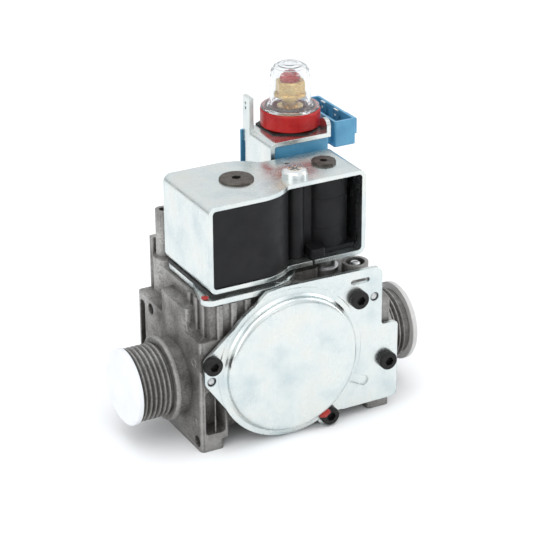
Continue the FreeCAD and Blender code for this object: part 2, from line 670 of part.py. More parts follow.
def base_plate_plan(margin):
    """Plan of the base plate: the coil seat's outline with a longer front left corner."""
    corners = [V(PLATE_LEFT_FRONT - margin, PLATE_FRONT - margin, 0), V(SEAT_X, PLATE_FRONT - margin, 0)]
    corners += [V(SEAT_X, PLATE_BACK + margin, 0), V(PLATE_LEFT_BACK - margin, PLATE_BACK + margin, 0)]
    corners += [V(PLATE_LEFT_BACK - margin, -5.0, 0)]
    flat = Part.Face(Part.makePolygon(corners + corners[:1])).extrude(V(0, 0, 1))
    depth_mid = (PLATE_FRONT + PLATE_BACK) / 2
    half_depth = (PLATE_BACK - PLATE_FRONT) / 2 + margin
    return flat.fuse(rod_z(SEAT_X, depth_mid, 0, 1, half_depth)).removeSplitter()


def round_corner_z(shape, x, y, radius):
    """Round one upright corner of a plate."""
    for edge in edges_along(shape, "Z"):
        point = edge.Vertexes[0].Point
        if abs(point.x - x) < 0.01 and abs(point.y - y) < 0.01:
            return shape.makeFillet(radius, [edge])
    raise ValueError("no such corner")


def plate_screw_holes(z0, z1, radius):
    return [rod_z(x, y, z0, z1, radius) for x, y in PLATE_SCREWS]


def body_gasket():
    shape = raised(base_plate_plan(-1.2), TOWER_TOP, PLATE_BOTTOM)
    shape = shape.common(raised(coil_tower_plan(0.2), TOWER_TOP, PLATE_BOTTOM))
    holes = [rod_z(LEFT_X, LEFT_Y, 50, 60, TUBE_FLANGE_R + 0.2)] + plate_screw_holes(50, 60, 1.7)
    for hole in holes:
        shape = shape.cut(hole)
    return shape


def solenoid_base_plate():
    shape = raised(base_plate_plan(0), PLATE_BOTTOM, PLATE_TOP)
    shape = round_corner_z(shape, PLATE_LEFT_FRONT, PLATE_FRONT, 3.4)
    shape = round_corner_z(shape, PLATE_LEFT_BACK, PLATE_BACK, 3.0)
    shape = shape.cut(rod_z(LEFT_X, LEFT_Y, 50, 60, LEFT_TUBE_R + 0.1))
    for x, y in PLATE_SCREWS:
        shape = shape.cut(countersunk(x, y, 0.1))
    return shape


def countersunk(x, y, margin):
    """Outline of a countersunk plate screw, flush with the base plate's top."""
    points = [(0, TOWER_TOP - 5), (1.45 + margin, TOWER_TOP - 5), (1.45 + margin, PLATE_TOP - 1.4)]
    points += [(2.75 + margin, PLATE_TOP - 0.1), (2.75 + margin, PLATE_TOP), (0, PLATE_TOP)]
    return lathe(points, V(x, y, 0), Z_AXIS)


def base_plate_screws():
    screws = []
    for x, y in PLATE_SCREWS:
        recess = prism_z(x, y, PLATE_TOP - 1.0, PLATE_TOP + 1, 2.0)
        screws.append(countersunk(x, y, 0).cut(recess))
    return Part.makeCompound(screws)


def coil_gasket():
    shape = raised(coil_tower_plan(-0.7), PLATE_TOP, BRACKET_BOTTOM)
    return shape.cut(rod_z(LEFT_X, LEFT_Y, 50, 60, LEFT_TUBE_R + 0.1))


def plate_seal():
    """Lacquer drop over the gasket's edge at the front left corner."""
    drop = Part.makeSphere(1.5)
    drop.translate(V(-32.2, -18.2, PLATE_TOP + 0.3))
    drop = drop.common(box(-40, 0, -30, 0, PLATE_TOP, BRACKET_BOTTOM))
    return drop.cut(raised(coil_tower_plan(-0.7), PLATE_TOP - 1, BRACKET_BOTTOM + 1))


def bracket_plan():
    """Plan of the coil bracket: wide round the left coil, waisted to the right one."""
    plan = [coil_tower_plan(0)]
    plan.append(box(0, BRACKET_R, BRACKET_FRONT_R, BRACKET_BACK_R, 0, 1))
    shape = fuse_all(plan)
    waist = []
    for edge in edges_along(shape, "Z"):
        point = edge.Vertexes[0].Point
        on_step = min(abs(point.y - BRACKET_FRONT_R), abs(point.y - BRACKET_BACK_R)) < 0.01
        if on_step and 0 < point.x < 10:
            waist.append(edge)
    return shape.makeFillet(3.2, waist)


def bracket_ring(inset, radius):
    """Rectangular profile along Y with rounded bends, inset from the bracket's outside."""
    x0 = BRACKET_L + inset
    x1 = BRACKET_R - inset
    z0 = BRACKET_BOTTOM + inset
    z1 = BRACKET_TOP - inset
    return round_box(x0, x1, -40, 40, z0, z1, radius, "Y")


def coil_bracket():
    shell = bracket_ring(0, BEND_R).cut(bracket_ring(BRACKET_T, BEND_R - BRACKET_T))
    shape = shell.common(raised(bracket_plan(), BRACKET_BOTTOM - 1, BRACKET_TOP + 1))
    mid = (BRACKET_BOTTOM + BRACKET_TOP) / 2
    cuts = [rod_z(LEFT_X, LEFT_Y, mid, BRACKET_TOP + 1, 2.7)]
    cuts.append(rod_z(RIGHT_X, RIGHT_Y, mid, BRACKET_TOP + 1, 2.2))
    cuts.append(rod_z(PAN_X, PAN_Y, mid, BRACKET_TOP + 1, 2.2))
    cuts.append(rod_z(11.7, 4.4, mid, BRACKET_TOP + 1, 0.9))
    cuts.append(rod_z(LEFT_X, LEFT_Y, BRACKET_BOTTOM - 1, mid, LEFT_TUBE_R + 0.1))
    cuts.append(rod_z(RIGHT_X, RIGHT_Y, BRACKET_BOTTOM - 1, mid, RIGHT_TUBE_R + 0.1))
    # the strip's two ends meet under the coils, with a narrow joint
    cuts.append(box(JOINT_X0, JOINT_X1, -40, 40, BRACKET_BOTTOM - 1, mid))
    for cut in cuts:
        shape = shape.cut(cut)
    return shape.removeSplitter()


# ---- solenoids ---------------------------------------------------------------------------------

def coil_left():
    flat = box(BRACKET_L + BRACKET_T + 0.1, SEAT_X, BRACKET_FRONT + 0.7, BRACKET_BACK - 0.7, 0, 1)
    depth_mid = (BRACKET_FRONT + BRACKET_BACK) / 2
    half_depth = (BRACKET_BACK - BRACKET_FRONT) / 2 - 0.7
    plan = flat.fuse(rod_z(SEAT_X, depth_mid, 0, 1, half_depth)).removeSplitter()
    shape = raised(plan, COIL_BOTTOM, COIL_TOP)
    shape = shape.common(bracket_ring(BRACKET_T + 0.1, BEND_R - BRACKET_T))
    return shape.cut(rod_z(LEFT_X, LEFT_Y, 50, 100, LEFT_TUBE_R + 0.1))


def coil_right():
    """Round winding on a moulded bobbin, with the pillar that takes the bracket's screw."""
    right = BRACKET_R - BRACKET_T - 0.15
    front = RIGHT_Y - RIGHT_WINDING_R - 0.3
    back = BRACKET_BACK_R - 0.7
    parts = [rod_z(RIGHT_X, RIGHT_Y, COIL_BOTTOM, COIL_TOP, RIGHT_WINDING_R)]
    parts.append(round_box(13.4, right, front, back, COIL_BOTTOM, COIL_BOTTOM + 1.6, 1.5))
    parts.append(round_box(13.4, right, front, back, COIL_TOP - 1.4, COIL_TOP, 1.5))
    parts.append(round_box(12.2, 18.0, BRACKET_FRONT_R + 0.9, -4, COIL_BOTTOM, COIL_BOTTOM + 3.4, 1.2))
    parts.append(box(14.5, right, 0, back, COIL_BOTTOM, COIL_TOP))
    parts.append(box(8.4, 16, -5.6, back, COIL_BOTTOM, COIL_TOP))
    parts.append(rod_z(PAN_X, PAN_Y, COIL_BOTTOM, COIL_TOP, 3.3))
    shape = fuse_all(parts).common(bracket_ring(BRACKET_T + 0.1, BEND_R - BRACKET_T))
    # the pillar's side is flattened along the left coil
    half_depth = (BRACKET_BACK - BRACKET_FRONT) / 2 - 0.6
    shape = shape.cut(rod_z(SEAT_X, (BRACKET_FRONT + BRACKET_BACK) / 2, 50, 100, half_depth))
    shape = shape.cut(rod_z(RIGHT_X, RIGHT_Y, 50, 100, RIGHT_TUBE_R + 0.1))
    return shape.cut(rod_z(PAN_X, PAN_Y, COIL_TOP - 12, COIL_TOP + 1, 2.0))


def core_tube_left():
    top = TUBE_FLANGE_Z + 1.6
    inner = LEFT_TUBE_R - TUBE_WALL
    points = [(inner, TUBE_FLANGE_Z), (TUBE_FLANGE_R, TUBE_FLANGE_Z), (TUBE_FLANGE_R, top)]
    points += [(LEFT_TUBE_R, top), (LEFT_TUBE_R, CORE_STEP), (inner, CORE_STEP)]
    return lathe(points, V(LEFT_X, LEFT_Y, 0), Z_AXIS)


def tube_oring_left():
    middle = (LEFT_CHAMBER_R + ORING_POCKET_R) / 2
    return Part.makeTorus(middle, ORING_T / 2 - 0.02, V(LEFT_X, LEFT_Y, TUBE_FLANGE_Z - ORING_T / 2), Z_AXIS)


def core_tube_right():
    inner = RIGHT_TUBE_R - TUBE_WALL
    points = [(inner, 46.5), (PILOT_R - 0.05, 46.5), (PILOT_R - 0.05, DECK_TOP), (RIGHT_FLANGE_R, DECK_TOP)]
    points += [(RIGHT_FLANGE_R, DECK_TOP + 1.6), (RIGHT_TUBE_R, DECK_TOP + 1.6), (RIGHT_TUBE_R, CORE_STEP)]
    points += [(inner, CORE_STEP)]
    return lathe(points, V(RIGHT_X, RIGHT_Y, 0), Z_AXIS)


def tube_oring_right():
    return Part.makeTorus(PILOT_R + 0.5, 0.48, V(RIGHT_X, RIGHT_Y, DECK_TOP - 0.5), Z_AXIS)


def fixed_core(x, y, bottom, tube_r, tap_r):
    """Iron core at the top of a core tube, with a shoulder on the tube's end."""
    top = BRACKET_TOP - BRACKET_T
    inner = tube_r - TUBE_WALL - 0.02
    points = [(0, bottom), (inner, bottom), (inner, CORE_STEP), (tube_r, CORE_STEP)]
    points += [(tube_r, top), (0, top)]
    return lathe(points, V(x, y, 0), Z_AXIS).cut(rod_z(x, y, top - 10, top + 1, tap_r))


def core_screw_left():
    """Large flat-headed screw with a hexagon socket."""
    head = rod_z(LEFT_X, LEFT_Y, BRACKET_TOP, BRACKET_TOP + CORE_HEAD_H, 6.1)
    head = head.makeChamfer(0.4, [circle_edge(head, BRACKET_TOP + CORE_HEAD_H, "z")])
    shank = rod_z(LEFT_X, LEFT_Y, BRACKET_TOP - 10, BRACKET_TOP, 2.47)
    socket = prism_z(LEFT_X, LEFT_Y, BRACKET_TOP - 2, BRACKET_TOP + 2, 3.0, 6, 15)
    return head.fuse(shank).cut(socket).removeSplitter()


def core_screw_right():
    """Small screw with a many-sided head and a socket."""
    head = prism_z(RIGHT_X, RIGHT_Y, BRACKET_TOP, BRACKET_TOP + CORE_HEAD_H, 8.4, 10)
    shank = rod_z(RIGHT_X, RIGHT_Y, BRACKET_TOP - 10, BRACKET_TOP, 1.97)
    socket = prism_z(RIGHT_X, RIGHT_Y, BRACKET_TOP - 1.5, BRACKET_TOP + 2, 2.5, 6, 15)
    return head.fuse(shank).cut(socket).removeSplitter()


def armature_left():
    inner = LEFT_TUBE_R - TUBE_WALL - 0.08
    points = [(0, 41.4), (8.4, 41.4), (8.4, 42.6), (inner, 42.6), (inner, 69.6), (0, 69.6)]
    return lathe(points, V(LEFT_X, LEFT_Y, 0), Z_AXIS)


def armature_right():
    inner = RIGHT_TUBE_R - TUBE_WALL - 0.08
    body = rod_z(RIGHT_X, RIGHT_Y, 45.5, 69.0, inner)
    return body.cut(rod_z(RIGHT_X, RIGHT_Y, 62, 70, 1.6))


def armature_spring_left():
    start = 42.6
    return coil_spring(V(LEFT_X, LEFT_Y, start), Z_AXIS, TUBE_FLANGE_Z - start, 7.7, 0.4, 5)


def armature_spring_right():
    start = 62.0
    return coil_spring(V(RIGHT_X, RIGHT_Y, start), Z_AXIS, RIGHT_CORE_BOTTOM - start, 1.15, 0.25, 9)


def seat_right():
    points = [(0.8, JET_Z), (JET_R - 0.02, JET_Z), (JET_R - 0.02, 42.4)]
    points += [(1.6, 42.4), (1.6, 44.4), (0.8, 44.4)]
    return lathe(points, V(RIGHT_X, RIGHT_Y, 0), Z_AXIS)


def bracket_screw():
    """Pan-head screw with a cross recess."""
    points = [(0, BRACKET_TOP - 11), (1.97, BRACKET_TOP - 11), (1.97, BRACKET_TOP)]
    points += [(PAN_HEAD_R, BRACKET_TOP), (PAN_HEAD_R, BRACKET_TOP + 1.5)]
    points += [(PAN_HEAD_R - 0.5, BRACKET_TOP + 2.2), (2.6, BRACKET_TOP + 2.6)]
    points.append((0, BRACKET_TOP + 2.7))
    shape = lathe(points, V(PAN_X, PAN_Y, 0), Z_AXIS)
    for turn in (20, 110):
        arm = box(-2.2, 2.2, -0.45, 0.45, BRACKET_TOP + 1.3, BRACKET_TOP + 4)
        arm.rotate(V(0, 0, 0), Z_AXIS, turn)
        arm.translate(V(PAN_X, PAN_Y, 0))
        shape = shape.cut(arm)
    return shape


def coil_socket():
    """Plug socket on the back of the left coil, open to the back."""
    back = BRACKET_BACK - 0.7
    shape = round_box(-20, -2, back, back + 10, 68, 81, 1.2, "Y")
    return shape.cut(round_box(-18.6, -3.4, back + 2, back + 11, 69.4, 79.6, 0.8, "Y"))


def coil_pins():
    back = BRACKET_BACK + 1.3
    pins = []
    for index in range(4):
        x = -15.5 + 3.0 * index
        pins.append(box(x - 0.4, x + 0.4, back, back + 6, 74.1, 74.9))
    return Part.makeCompound(pins)


# ---- modulator ---------------------------------------------------------------------------------

def modulator_bracket():
    """Folded strip over, beside and under the blue coil, with a tall tab and a low lip."""
    low = MOD_SEAT + 2
    loop = round_box(MOD_L, MOD_R + 10, MOD_FRONT, MOD_BACK - 3, low, MOD_PLATE_TOP, 2.4, "Y")
    hollow = round_box(MOD_L + BRACKET_T, MOD_R + 12, MOD_FRONT - 1, MOD_BACK, low + BRACKET_T,
                       MOD_PLATE_TOP - BRACKET_T, 0.8, "Y")
    strip = loop.cut(hollow).common(box(0, MOD_R, 0, 50, 0, 120))
    tab = box(MOD_L, MOD_L + BRACKET_T, 28.0, 33.2, MOD_PLATE_TOP - 4, 107.4)
    tab = tab.fuse(box(MOD_L, MOD_L + BRACKET_T, MOD_BACK - 4, 33.2, 90, 100))
    lip = round_box(MOD_R - BRACKET_T, MOD_R, MOD_FRONT, 17.4, MOD_PLATE_TOP - 2, 100.4, 2.4, "X")
    lip = lip.common(box(0, 50, 0, 50, MOD_PLATE_TOP - BRACKET_T, 120))
    shape = fuse_all([strip, tab, lip])
    shape = shape.cut(rod_z(MOD_X, MOD_Y, 60, 110, MOD_TUBE_R + 0.1))
    for z in (103.1, 104.9):
        shape = shape.cut(rod_x(31.1, z, MOD_L - 1, MOD_L + 3, 0.55))
    return shape


def modulator_coil():
    """Blue bobbin: block under the top plate, with a wider flange at the back."""
    low = MOD_SEAT + 2 + BRACKET_T + 0.1
    high = MOD_PLATE_TOP - BRACKET_T - 0.1
    block = round_box(MOD_L + BRACKET_T + 0.1, MOD_R - 0.2, MOD_FRONT + 1.0, MOD_BACK - 2.6, low, high, 1.0)
    inside = round_box(MOD_L + BRACKET_T + 0.1, MOD_R + 10, 0, MOD_BACK + 5, low, high, 0.9, "Y")
    block = block.common(inside)
    flange = round_box(8.6, MOD_R - 0.2, MOD_BACK - 2.9, MOD_BACK, low, high, 1.0)
    flange = flange.cut(box(MOD_L - 0.1, MOD_L + BRACKET_T + 0.1, 20, MOD_BACK - 1.2, low - 1, high + 1))
    flange = flange.cut(box(0, MOD_L + 1, 20, MOD_BACK - 1.3, low - 1, high + 1))
    return fuse_all([block, flange]).cut(rod_z(MOD_X, MOD_Y, 60, 110, MOD_TUBE_R + 0.1))


def modulator_connector():
    """Blue plug shell beside the coil, open at the top, on a short arm from the bobbin."""
    x1 = SHELL_X + SHELL_W
    y1 = SHELL_Y + SHELL_L
    shell = round_box(SHELL_X, x1, SHELL_Y, y1, SHELL_Z0, SHELL_Z1, 0.8)
    # key over the upper part of the outer wall
    key = box(x1 - 0.2, x1 + 0.7, SHELL_Y + 0.6, SHELL_Y + 8, SHELL_Z1 - 6.1, SHELL_Z1 - 0.3)
    arm = box(MOD_R - 0.2, SHELL_X + 0.5, 20, 31, SHELL_Z0 + 0.6, MOD_PLATE_TOP - BRACKET_T - 0.1)
    hollow = round_box(SHELL_X + SHELL_WALL, x1 - SHELL_WALL, SHELL_Y + SHELL_WALL, y1 - SHELL_WALL,
                       SHELL_Z0 + SHELL_FLOOR, SHELL_Z1 + 1, 0.5)
    return fuse_all([shell, key, arm]).cut(hollow)


def modulator_terminals():
    """Two blade terminals standing in the connector shell."""
    blades = []
    for y in BLADES_Y:
        blade = box(BLADE_X - 0.4, BLADE_X + 0.4, y - 1.4, y + 1.4, SHELL_Z0 + SHELL_FLOOR, SHELL_Z1 + 0.4)
        hole = rod_x(y, SHELL_Z1 - 1.4, BLADE_X - 2, BLADE_X + 2, 0.6)
        blades.append(blade.cut(hole))
    return Part.makeCompound(blades)


def modulator_tube():
    """Brass guide: screwed into the column, through the coil, up to the adjusters."""
    points = [(3.0, MOD_SEAT - 6), (PILOT_R - 0.05, MOD_SEAT - 6), (PILOT_R - 0.05, MOD_SEAT)]
    points += [(8.0, MOD_SEAT), (8.0, MOD_SEAT + 2), (MOD_TUBE_R, MOD_SEAT + 2), (MOD_TUBE_R, RING_Z + 1.65)]
    points += [(GUIDE_COLLAR_R, RING_Z + 1.65), (GUIDE_COLLAR_R, GUIDE_COLLAR_TOP), (2.9, GUIDE_COLLAR_TOP)]
    points += [(2.9, COLLAR_Z - 0.1), (2.6, COLLAR_Z - 0.1), (2.6, STEM_TOP)]
    points += [(1.55, STEM_TOP), (1.55, NUT_Z), (3.0, NUT_Z)]
    return lathe(points, V(MOD_X, MOD_Y, 0), Z_AXIS)


def modulator_locknut():
    """Thin black nut that holds the bracket on the guide, nearly hidden under the ring."""
    prism = prism_z(MOD_X, MOD_Y, NUT_Z, RING_Z, LOCKNUT_AF, 6, -28)
    return prism.cut(rod_z(MOD_X, MOD_Y, NUT_Z - 1, RING_Z + 1, MOD_TUBE_R + 0.02))


def adjuster_ring():
    """Red cup round the adjusters."""
    points = [(MOD_TUBE_R + 0.05, RING_Z), (RING_R - 0.4, RING_Z), (RING_R, RING_Z + 0.4)]
    points += [(RING_R, RING_TOP - 0.7), (RING_R - 0.7, RING_TOP), (9.4, RING_TOP), (9.0, RING_TOP - 0.4)]
    points.append((9.0, RING_Z + 1.6))
    points += [(MOD_TUBE_R + 0.05, RING_Z + 1.6)]
    return lathe(points, V(MOD_X, MOD_Y, 0), Z_AXIS)


def brass_nut():
    """Flanged hexagon nut, the upper adjuster."""
    flange = rod_z(MOD_X, MOD_Y, COLLAR_Z, COLLAR_Z + 1.1, 5.8)
    flange = flange.makeChamfer(0.4, [circle_edge(flange, COLLAR_Z + 1.1, "z")])
    head = prism_z(MOD_X, MOD_Y, COLLAR_Z + 1.1, 112.8, 9.4, 6, 18)
    cone = lathe([(0, COLLAR_Z), (8.0, COLLAR_Z), (8.0, 110.2), (4.6, 112.8), (0, 112.8)],
                 V(MOD_X, MOD_Y, 0), Z_AXIS)
    shape = flange.fuse(head.common(cone)).removeSplitter()
    shape = shape.cut(rod_z(MOD_X, MOD_Y, COLLAR_Z - 1, STEM_TOP + 0.2, 2.65))
    return shape.cut(rod_z(MOD_X, MOD_Y, STEM_TOP, 114, 1.55))


def adjuster_screw():
    """Red screw, the inner adjuster, with a cross slot in its tip."""
    points = [(0, 101), (1.5, 101), (1.5, 112.82), (3.65, 112.82), (3.65, 114.0), (3.2, 114.6), (2.3, 114.8)]
    points += [(2.3, 115.5), (2.0, 115.9), (0, 115.9)]
    shape = lathe(points, V(MOD_X, MOD_Y, 0), Z_AXIS)
    for turn in (0, 90):
        arm = box(-3, 3, -0.4, 0.4, 115.0, 118)
        arm.rotate(V(0, 0, 0), Z_AXIS, turn)
        arm.translate(V(MOD_X, MOD_Y, 0))
        shape = shape.cut(arm)
    return shape


def modulator_cap():
    """Clear cap: a collar in the red cup, a rim on its edge and a rounded bell over the adjusters."""
    foot = RING_Z + 1.6
    rim = RING_TOP + 0.02
    outer = [(8.9, foot), (8.9, rim), (10.6, rim), (10.6, rim + 0.35), (10.2, rim + 0.7), (8.6, rim + 0.9)]
    outer += [(7.5, rim + 1.5), (7.25, CAP_TOP - 4.2)]
    outer += [(6.9, CAP_TOP - 2.4), (6.0, CAP_TOP - 1.1), (4.6, CAP_TOP - 0.3), (2.6, CAP_TOP), (0, CAP_TOP)]
    inner = [(0, CAP_TOP - 1.0), (2.4, CAP_TOP - 1.0), (4.1, CAP_TOP - 1.2), (5.3, CAP_TOP - 1.8)]
    inner += [(6.1, CAP_TOP - 2.9), (6.4, CAP_TOP - 4.2), (6.6, rim + 0.9), (8.0, rim - 0.2), (8.0, foot)]
    return lathe(outer + inner, V(MOD_X, MOD_Y, 0), Z_AXIS)


def modulator_plunger():
    """Magnet plunger with a thin rod down to its jet."""
    points = [(0, 60.15), (1.0, 60.15), (1.5, 61.0), (1.5, 66), (2.92, 66), (2.92, 88), (0, 88)]
    return lathe(points, V(MOD_X, MOD_Y, 0), Z_AXIS)


def modulator_spring():
    return coil_spring(V(MOD_X, MOD_Y, 88), Z_AXIS, NUT_Z - 88, 2.2, 0.3, 6)


def modulator_jet():
    floor = MOD_SEAT - MOD_CHAMBER
    points = [(0.7, floor), (3.0, floor), (3.0, floor + 1.5), (1.5, floor + 2.1), (0.7, floor + 2.1)]
    return lathe(points, V(MOD_X, MOD_Y, 0), Z_AXIS)


# ---- assembly ----------------------------------------------------------------------------------

def assembly():
    """Every node's name and shape."""
    return {
        "valve_body": valve_body(),
        "diaphragm_cover": diaphragm_cover(),
        "cover_screws": cover_screws(),
        "cover_pins": cover_pins(),
        "cover_seal": cover_seal(),
        "main_diaphragm": main_diaphragm(),
        "diaphragm_plate": diaphragm_plate(),
        "regulator_stem": regulator_stem(),
        "regulator_valve": regulator_valve(),
        "regulator_seat": regulator_seat(),
        "regulator_spring": regulator_spring(),
        "rear_plug": rear_plug(),
        "rear_plug_oring": rear_plug_oring(),
        "inlet_cap": end_cap(-1, INLET_CAP_R),
        "outlet_cap": end_cap(1, OUTLET_CAP_R),
        "inlet_strainer": inlet_strainer(),
        "outlet_test_screw": test_screw(0),
        "inlet_test_screw": test_screw(1),
        "body_gasket": body_gasket(),
        "solenoid_base_plate": solenoid_base_plate(),
        "base_plate_screws": base_plate_screws(),
        "coil_gasket": coil_gasket(),
        "plate_seal": plate_seal(),
        "coil_bracket": coil_bracket(),
        "bracket_screw": bracket_screw(),
        "coil_left": coil_left(),
        "coil_right": coil_right(),
        "coil_socket": coil_socket(),
        "coil_pins": coil_pins(),
        "core_tube_left": core_tube_left(),
        "tube_oring_left": tube_oring_left(),
        "fixed_core_left": fixed_core(LEFT_X, LEFT_Y, CORE_BOTTOM, LEFT_TUBE_R, 2.5),
        "core_screw_left": core_screw_left(),
        "armature_left": armature_left(),
        "armature_spring_left": armature_spring_left(),
        "seal_disc_left": rod_z(LEFT_X, LEFT_Y, SEAT_TOP + 0.02, 41.4, 8.4),
        "seat_left": tube_z(LEFT_X, LEFT_Y, LEFT_FLOOR - 1.5, SEAT_TOP, SEAT_R, SEAT_BORE_R),
        "core_tube_right": core_tube_right(),
        "tube_oring_right": tube_oring_right(),
        "fixed_core_right": fixed_core(RIGHT_X, RIGHT_Y, RIGHT_CORE_BOTTOM, RIGHT_TUBE_R, 2.0),
        "core_screw_right": core_screw_right(),
        "armature_right": armature_right(),
        "armature_spring_right": armature_spring_right(),
        "seal_disc_right": rod_z(RIGHT_X, RIGHT_Y, 44.42, 45.5, 2.8),
        "seat_right": seat_right(),
        "modulator_bracket": modulator_bracket(),
        "modulator_coil": modulator_coil(),
        "modulator_connector": modulator_connector(),
        "modulator_terminals": modulator_terminals(),
        "modulator_tube": modulator_tube(),
        "modulator_locknut": modulator_locknut(),
        "adjuster_ring": adjuster_ring(),
        "brass_nut": brass_nut(),
        "adjuster_screw": adjuster_screw(),
        "modulator_cap": modulator_cap(),
        "modulator_plunger": modulator_plunger(),
        "modulator_spring": modulator_spring(),
        "modulator_jet": modulator_jet(),
    }


def main():
    os.makedirs("parts", exist_ok=True)
    for name, shape in assembly().items():
        shape.exportStep("parts/" + name + ".step")
        state = "" if shape.isValid() else " INVALID"
        print("%s volume %.1f%s" % (name, shape.Volume, state))


main()
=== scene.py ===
import json
import math

import bmesh
import bpy
from mathutils import Matrix, Vector


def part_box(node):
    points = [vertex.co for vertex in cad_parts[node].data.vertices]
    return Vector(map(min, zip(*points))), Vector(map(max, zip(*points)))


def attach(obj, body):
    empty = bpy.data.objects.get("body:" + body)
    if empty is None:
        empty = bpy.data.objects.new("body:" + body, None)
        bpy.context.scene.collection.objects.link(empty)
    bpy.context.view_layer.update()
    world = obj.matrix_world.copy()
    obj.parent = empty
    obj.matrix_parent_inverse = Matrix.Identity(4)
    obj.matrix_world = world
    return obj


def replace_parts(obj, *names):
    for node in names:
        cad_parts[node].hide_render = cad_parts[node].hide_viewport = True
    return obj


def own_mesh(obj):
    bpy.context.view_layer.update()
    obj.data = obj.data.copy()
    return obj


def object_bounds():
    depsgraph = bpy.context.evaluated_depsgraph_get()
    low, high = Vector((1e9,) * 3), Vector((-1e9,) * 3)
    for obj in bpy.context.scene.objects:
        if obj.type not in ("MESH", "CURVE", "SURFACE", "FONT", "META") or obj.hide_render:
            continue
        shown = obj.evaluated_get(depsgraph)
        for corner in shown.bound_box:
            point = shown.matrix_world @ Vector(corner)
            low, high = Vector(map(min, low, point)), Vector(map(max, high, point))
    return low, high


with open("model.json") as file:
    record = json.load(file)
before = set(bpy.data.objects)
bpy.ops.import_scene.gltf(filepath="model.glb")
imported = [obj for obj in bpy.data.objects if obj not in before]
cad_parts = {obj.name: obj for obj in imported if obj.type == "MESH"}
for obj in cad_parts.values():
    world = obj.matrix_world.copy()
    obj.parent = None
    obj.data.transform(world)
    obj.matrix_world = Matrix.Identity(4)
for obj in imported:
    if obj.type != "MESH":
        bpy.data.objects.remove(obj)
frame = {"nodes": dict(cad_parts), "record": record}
cad_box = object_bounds()

# Gas valve. Metres, in the CAD frame: +X along the flow, -Y towards the diaphragm cover, +Z up.
MM = 0.001

# ---- view and stage ------------------------------------------------------------------------------

AIM = Vector((0.0, 0.0, 50 * MM))
CAMERA_AZIMUTH = math.radians(27.95)      # the camera stands in front and to the left
CAMERA_ELEVATION = math.radians(24.87)
CAMERA_ROLL = math.radians(0.33)
CAMERA_DISTANCE = 721.5 * MM
CAMERA_RIGHT = 0.985 * MM
CAMERA_UP = 4.797 * MM
LENS = 137.6
SENSOR = 36.0
FLOOR_SIZE = 6.0
WHITE = (0.93, 0.935, 0.94, 1.0)
SKY_LOW = (0.34, 0.36, 0.37, 1.0)
SKY_HIGH = (0.96, 0.98, 1.0, 1.0)
SKY_POWER = 1.0


def camera():
    """Camera at the photograph's angle, aimed with a small slide to the side and up."""
    sa, ca = math.sin(CAMERA_AZIMUTH), math.cos(CAMERA_AZIMUTH)
    se, ce = math.sin(CAMERA_ELEVATION), math.cos(CAMERA_ELEVATION)
    forward = Vector((sa * ce, ca * ce, -se))
    right = Vector((ca, -sa, 0.0))
    up = right.cross(forward)
    roll = Matrix.Rotation(CAMERA_ROLL, 3, forward)
    right = roll @ right
    up = roll @ up
    data = bpy.data.cameras.new("camera")
    data.lens = LENS
    data.sensor_width = SENSOR
    data.clip_start = 0.01
    data.clip_end = 50.0
    made = bpy.data.objects.new("camera", data)
    bpy.context.scene.collection.objects.link(made)
    turn = Matrix((right, up, -forward)).transposed()
    place = AIM - forward * CAMERA_DISTANCE + right * CAMERA_RIGHT + up * CAMERA_UP
    made.matrix_world = Matrix.Translation(place) @ turn.to_4x4()
    bpy.context.scene.camera = made
    bpy.context.scene.view_settings.view_transform = "Standard"


def area_light(name, place, size, power, colour=(1.0, 1.0, 1.0)):
    data = bpy.data.lights.new(name, "AREA")
    data.shape = "RECTANGLE"
    data.size, data.size_y = size
    data.energy = power
    data.color = colour
    made = bpy.data.objects.new(name, data)
    bpy.context.scene.collection.objects.link(made)
    made.location = place
    made.rotation_mode = "QUATERNION"
    made.rotation_quaternion = (AIM - Vector(place)).to_track_quat("-Z", "Y")


def studio_sky():
    """World that is white overhead and greyer towards the horizon, so that bare metal shows its shape."""
    world = bpy.data.worlds.new("studio")
    world.use_nodes = True
    tree = world.node_tree
    split = tree.nodes.new("ShaderNodeSeparateXYZ")
    tree.links.new(tree.nodes.new("ShaderNodeTexCoord").outputs["Generated"], split.inputs["Vector"])
    fade = tree.nodes.new("ShaderNodeValToRGB")
    stops = fade.color_ramp.elements
    stops[0].position, stops[0].color = 0.0, SKY_LOW
    stops[1].position, stops[1].color = 0.32, SKY_HIGH
    tree.links.new(split.outputs["Z"], fade.inputs["Fac"])
    sky = tree.nodes["Background"]
    tree.links.new(fade.outputs["Color"], sky.inputs["Color"])
    sky.inputs["Strength"].default_value = SKY_POWER
    bpy.context.scene.world = world


def lights():
    """Soft studio light: a large overhead box, a left fill, a weak front fill and a right strip."""
    area_light("top_box", (-0.15, -0.15, 1.1), (1.1, 1.1), 4.5, (0.97, 0.985, 1.0))
    area_light("left_fill", (-1.1, -0.5, 0.55), (0.7, 0.9), 2.8, (0.98, 0.99, 1.0))
    area_light("front_fill", (0.25, -1.3, 0.5), (0.8, 0.5), 0.8)
    area_light("right_strip", (1.0, -0.2, 0.5), (0.25, 1.0), 2.0)
    studio_sky()


def floor():
    """Plain pale floor under the object's lowest point."""
    level = cad_box[0].z
    half = FLOOR_SIZE / 2
    mesh = bpy.data.meshes.new("floor")
    corners = [(-half, -half, level), (half, -half, level), (half, half, level), (-half, half, level)]
    mesh.from_pydata(corners, [], [(0, 1, 2, 3)])
    made = bpy.data.objects.new("floor", mesh)
    bpy.context.scene.collection.objects.link(made)
    made.data.materials.append(surface("floor_paper", [WHITE, (0.95, 0.95, 0.95, 1.0)], rough=(0.7, 0.8),
                                       patch=200, grain=3.0, depth=0.01))


# ---- materials -----------------------------------------------------------------------------------

